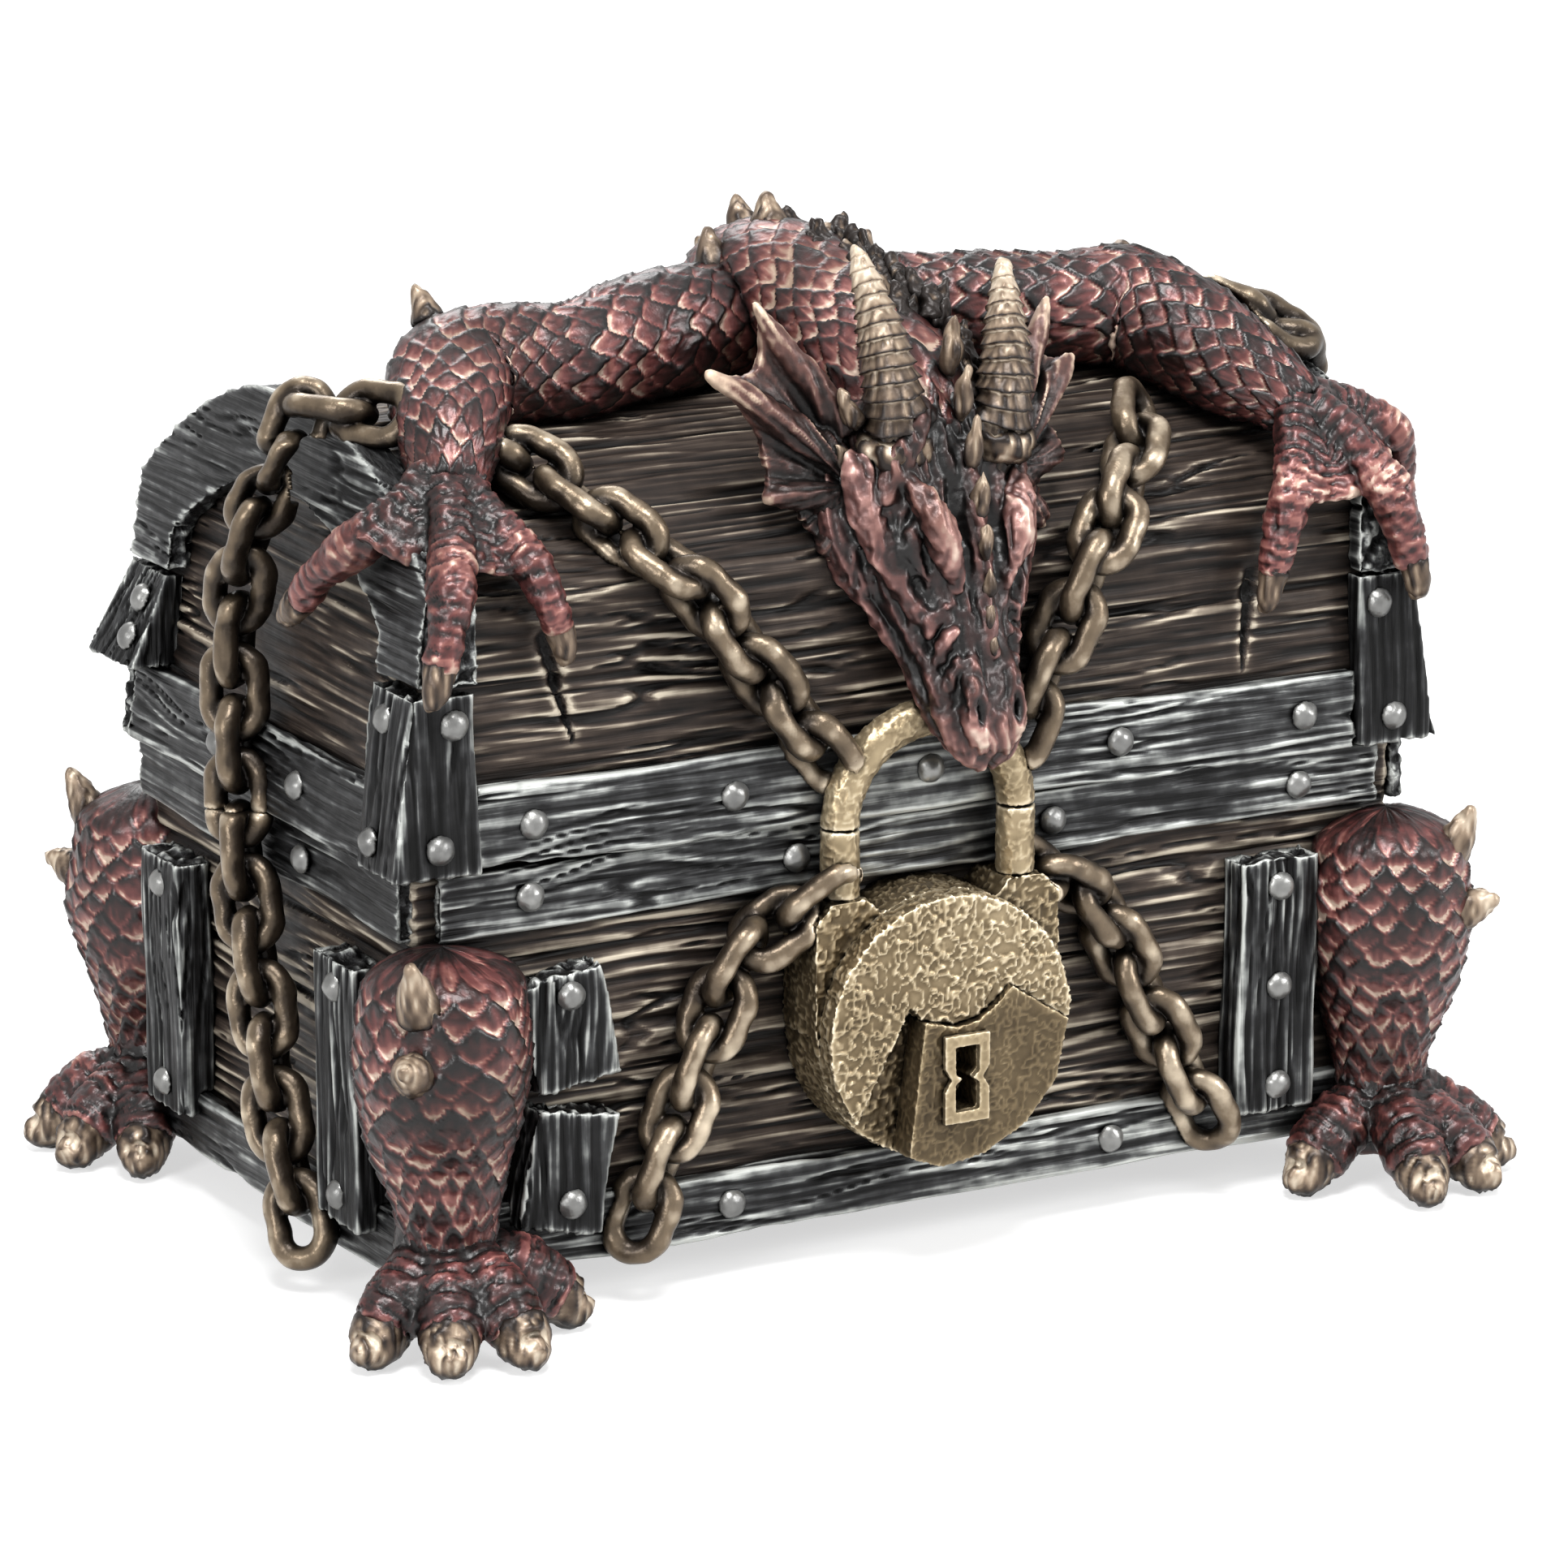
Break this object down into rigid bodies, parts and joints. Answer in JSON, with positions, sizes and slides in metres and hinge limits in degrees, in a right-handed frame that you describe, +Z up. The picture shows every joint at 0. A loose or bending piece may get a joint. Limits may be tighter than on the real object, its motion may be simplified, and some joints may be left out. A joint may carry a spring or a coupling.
{
  "type": "dragon treasure chest keepsake box",
  "caption": "Small plank-look treasure chest box on clawed dragon feet, wrapped in chain and padlocked, with a horned dragon clutching its arched lift-off lid.",
  "frame": {"origin": "on the table, under the middle of the feet's bounding box", "axes": "+X along the length of the chest, to its right seen from the front; -Y to the padlock side; +Z up"},
  "size_m": [0.1254, 0.0864, 0.0959],
  "materials": {
    "planks": "cast resin with carved grain, grey-brown with drybrushed ridges",
    "boards": "cast resin, charcoal with silver drybrushed grain",
    "rivets": "cast resin, pewter paint",
    "chain": "cast resin, antique bronze paint with dark recesses",
    "lock": "cast resin, hammered antique gold paint",
    "dragon": "cast resin scales, dark red-brown with pink and cream edges",
    "horn": "cast resin, bronze-cream paint"
  },
  "bodies": {
    "base": {"base_box": "planks", "base_rail_ends": "boards", "base_rail_front": "boards", "base_rail_rear": "boards", "base_rivets": "rivets", "battens_front": "boards", "battens_left": "boards", "battens_rear": "boards", "battens_right": "boards", "chain_base_front_left": "chain", "chain_base_front_right": "chain", "chain_base_left": "chain", "chain_base_right": "chain", "foot_front_left": "dragon", "foot_front_right": "dragon", "foot_rear_left": "dragon", "foot_rear_right": "dragon", "keyhole_frame": "lock", "leg_front_left": "dragon", "leg_front_right": "dragon", "leg_rear_left": "dragon", "leg_rear_right": "dragon", "leg_spikes": "horn", "padlock_case": "lock", "padlock_cover": "lock", "padlock_disc": "lock", "shackle_stubs": "lock", "skirt_ends": "boards", "skirt_front": "boards", "skirt_rear": "boards", "toe_claws": "horn"},
    "lid": {"chain_lid_left": "chain", "chain_lid_right": "chain", "corner_strap_front_left": "boards", "corner_strap_front_right": "boards", "corner_strap_rear_left": "boards", "corner_strap_rear_right": "boards", "dragon_arm_left": "dragon", "dragon_arm_right": "dragon", "dragon_claws": "horn", "dragon_ears": "dragon", "dragon_hand_left": "dragon", "dragon_hand_right": "dragon", "dragon_head": "dragon", "dragon_horns": "horn", "dragon_neck": "dragon", "dragon_snout": "dragon", "dragon_spines": "horn", "dragon_tail": "dragon", "dragon_torso": "dragon", "lid_band_left": "boards", "lid_band_right": "boards", "lid_rail_front": "boards", "lid_rail_left": "boards", "lid_rail_rear": "boards", "lid_rail_right": "boards", "lid_rivets": "rivets", "lid_shell": "planks", "padlock_shackle": "lock"}
  },
  "joints": [
    {"name": "lid_lift", "type": "slide", "parent": "base", "child": "lid", "axis": [0, 0, 1], "range_m": [0, 0.06]}
  ]
}
